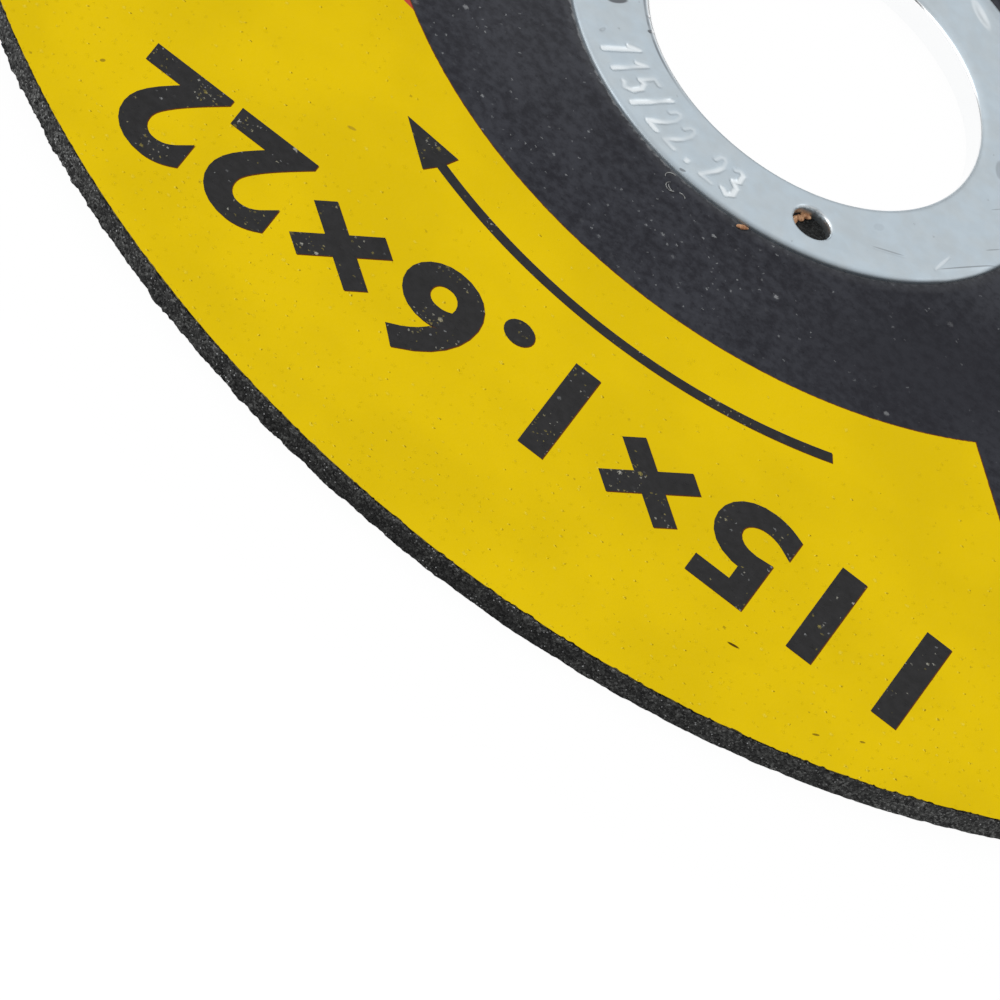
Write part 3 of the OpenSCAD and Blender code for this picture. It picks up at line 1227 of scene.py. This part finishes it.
# fibres of lint that lie on the label beside the ring, each part of a circle, in millimetres
lint = {
    "thick": 0.026,
    "steps": (60, 8),  # along a whole circle and around the fibre
    "arcs": [
        {"at": (-2.62, -16.95), "radius": 0.42, "from": 75, "to": 215},
        {"at": (-2.32, -17.62), "radius": 0.36, "from": 120, "to": 300},
        {"at": (-2.05, -17.35), "radius": 0.55, "from": 200, "to": 275},
        {"at": (-1.55, -17.85), "radius": 0.30, "from": 20, "to": 130},
    ],
}


def makeLint(name):
    made = []
    for arc in lint["arcs"]:
        clearSelection()
        sizes = {"major_radius": arc["radius"] * mm, "minor_radius": lint["thick"] * mm}
        along, around = lint["steps"]
        bpy.ops.mesh.primitive_torus_add(major_segments=along, minor_segments=around, **sizes)
        fibre = bpy.context.object
        startEdit(fibre)
        span = arc["to"] - arc["from"]
        pickVerts(lambda co: (math.degrees(math.atan2(co.y, co.x)) - arc["from"]) % 360 > span)
        bpy.ops.mesh.delete(type="VERT")
        bpy.ops.mesh.select_all(action="SELECT")
        bpy.ops.mesh.fill_holes(sides=0)
        endEdit()
        fibre.location = (arc["at"][0] * mm, arc["at"][1] * mm, labelTop + lint["thick"] * mm)
        applyPlace(fibre)
        made.append(fibre)
    piece = joinPieces(made, name)
    fixNormals(piece)
    wear(piece, paleLint)
    smoothUnder(piece, 60)
    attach(piece, "root")


makeLint("lintFibres")
print("crumbs and lint ready")

# white floor, soft light and the camera of the photograph
studio = {
    "skyLow": 0.30,  # brightness of the surroundings at the horizon
    "skyHigh": 1.0,  # from half way up
    "skyFront": 0.6,  # taken off on the near right side
    "frontWay": (0.45, -0.89, 0.0),
    "skySide": 0.25,  # added on both sides
    "skyLeast": 0.05,
    "skyFromTo": (0.02, 0.5),
    "lamps": [
        {"name": "leftLamp", "power": 1.0, "size": (0.6, 0.22), "place": (-0.46, -0.27, 0.13)},
        {"name": "rightLamp", "power": 2.4, "size": (0.64, 0.64), "place": (1.6, 0.7, 1.24)},
    ],
    "floorSize": 6.0,
    "floorDrop": 0.02 * mm,  # keeps the floor clear of the back face
    "floorShade": (0.34, 0.34, 0.34, 1.0),
    "floorLight": 1.075,
    "floorGlow": 0.9,  # share of its own white near the wheel, where the shadow falls
    "glowFromTo": (wheelRadius + 10 * mm, wheelRadius + 25 * mm),
}
cameraView = {
    "lens": 720.0,
    "sensor": 36.0,
    "place": (0.0, -0.93856, 0.71587),
    "aim": (0.00083, -0.05039, 0.0016),
    "roll": 37.48,
}


def makeFloor():
    clearSelection()
    bpy.ops.mesh.primitive_plane_add(size=studio["floorSize"])
    floor = namePiece("floor")
    floor.location.z = -studio["floorDrop"]
    applyPlace(floor)
    material = bpy.data.materials.new("whiteFloor")
    material.use_nodes = True
    tree = material.node_tree
    tree.nodes.remove(tree.nodes["Principled BSDF"])
    diffuse = put(tree, "ShaderNodeBsdfDiffuse", {"Color": studio["floorShade"]})
    light = {"Color": (1, 1, 1, 1), "Strength": studio["floorLight"]}
    glow = put(tree, "ShaderNodeEmission", light)
    place = tree.nodes.new("ShaderNodeTexCoord").outputs["Object"]
    reach = vectorLength(tree, place)
    glowShare = ramp(tree, reach, *studio["glowFromTo"], studio["floorGlow"], 1.0)
    path = tree.nodes.new("ShaderNodeLightPath").outputs
    seen = calc(tree, "MAXIMUM", path["Is Camera Ray"], path["Is Glossy Ray"])
    seen = calc(tree, "MAXIMUM", seen, path["Is Transmission Ray"])
    share = times(tree, seen, glowShare)
    mixed = put(tree, "ShaderNodeMixShader", {0: share, 1: diffuse.outputs[0], 2: glow.outputs[0]})
    tree.links.new(mixed.outputs[0], tree.nodes["Material Output"].inputs[0])
    wear(floor, material)


def makeLight():
    world = bpy.data.worlds.new("studio")
    bpy.context.scene.world = world
    world.use_nodes = True
    tree = world.node_tree
    way = tree.nodes.new("ShaderNodeTexCoord").outputs["Generated"]
    x, y, z = splitPlace(tree, way)
    level = ramp(tree, z, *studio["skyFromTo"], studio["skyLow"], studio["skyHigh"])
    front = vectorMath(tree, "DOT_PRODUCT", way, studio["frontWay"], output=1)
    level = timesPlus(tree, calc(tree, "MAXIMUM", front, 0.0), -studio["skyFront"], level)
    level = timesPlus(tree, times(tree, x, x), studio["skySide"], level)
    level = calc(tree, "MAXIMUM", level, studio["skyLeast"])
    seen = tree.nodes.new("ShaderNodeLightPath").outputs["Is Camera Ray"]
    level = calc(tree, "MAXIMUM", level, seen)
    tree.links.new(level, tree.nodes["Background"].inputs["Strength"])
    tree.nodes["Background"].inputs["Color"].default_value = (1, 1, 1, 1)
    for each in studio["lamps"]:
        lamp = bpy.data.lights.new(each["name"], "AREA")
        lamp.energy = each["power"]
        lamp.shape = "RECTANGLE"
        lamp.size, lamp.size_y = each["size"]
        lampPiece = bpy.data.objects.new(each["name"], lamp)
        bpy.context.collection.objects.link(lampPiece)
        lampPiece.location = each["place"]
        lampPiece.rotation_euler = (-Vector(each["place"])).to_track_quat("-Z", "Y").to_euler()


def makeCamera():
    view = cameraView
    camera = bpy.data.objects.new("camera", bpy.data.cameras.new("camera"))
    bpy.context.collection.objects.link(camera)
    camera.data.lens = view["lens"]
    camera.data.sensor_width = view["sensor"]
    camera.location = view["place"]
    sight = Vector(view["aim"]) - Vector(view["place"])
    camera.rotation_euler = sight.to_track_quat("-Z", "Y").to_euler()
    camera.rotation_euler.rotate_axis("Z", math.radians(view["roll"]))
    bpy.context.scene.camera = camera


makeFloor()
makeLight()
makeCamera()
bpy.context.scene.view_settings.view_transform = "Standard"
print("floor, light and camera ready")
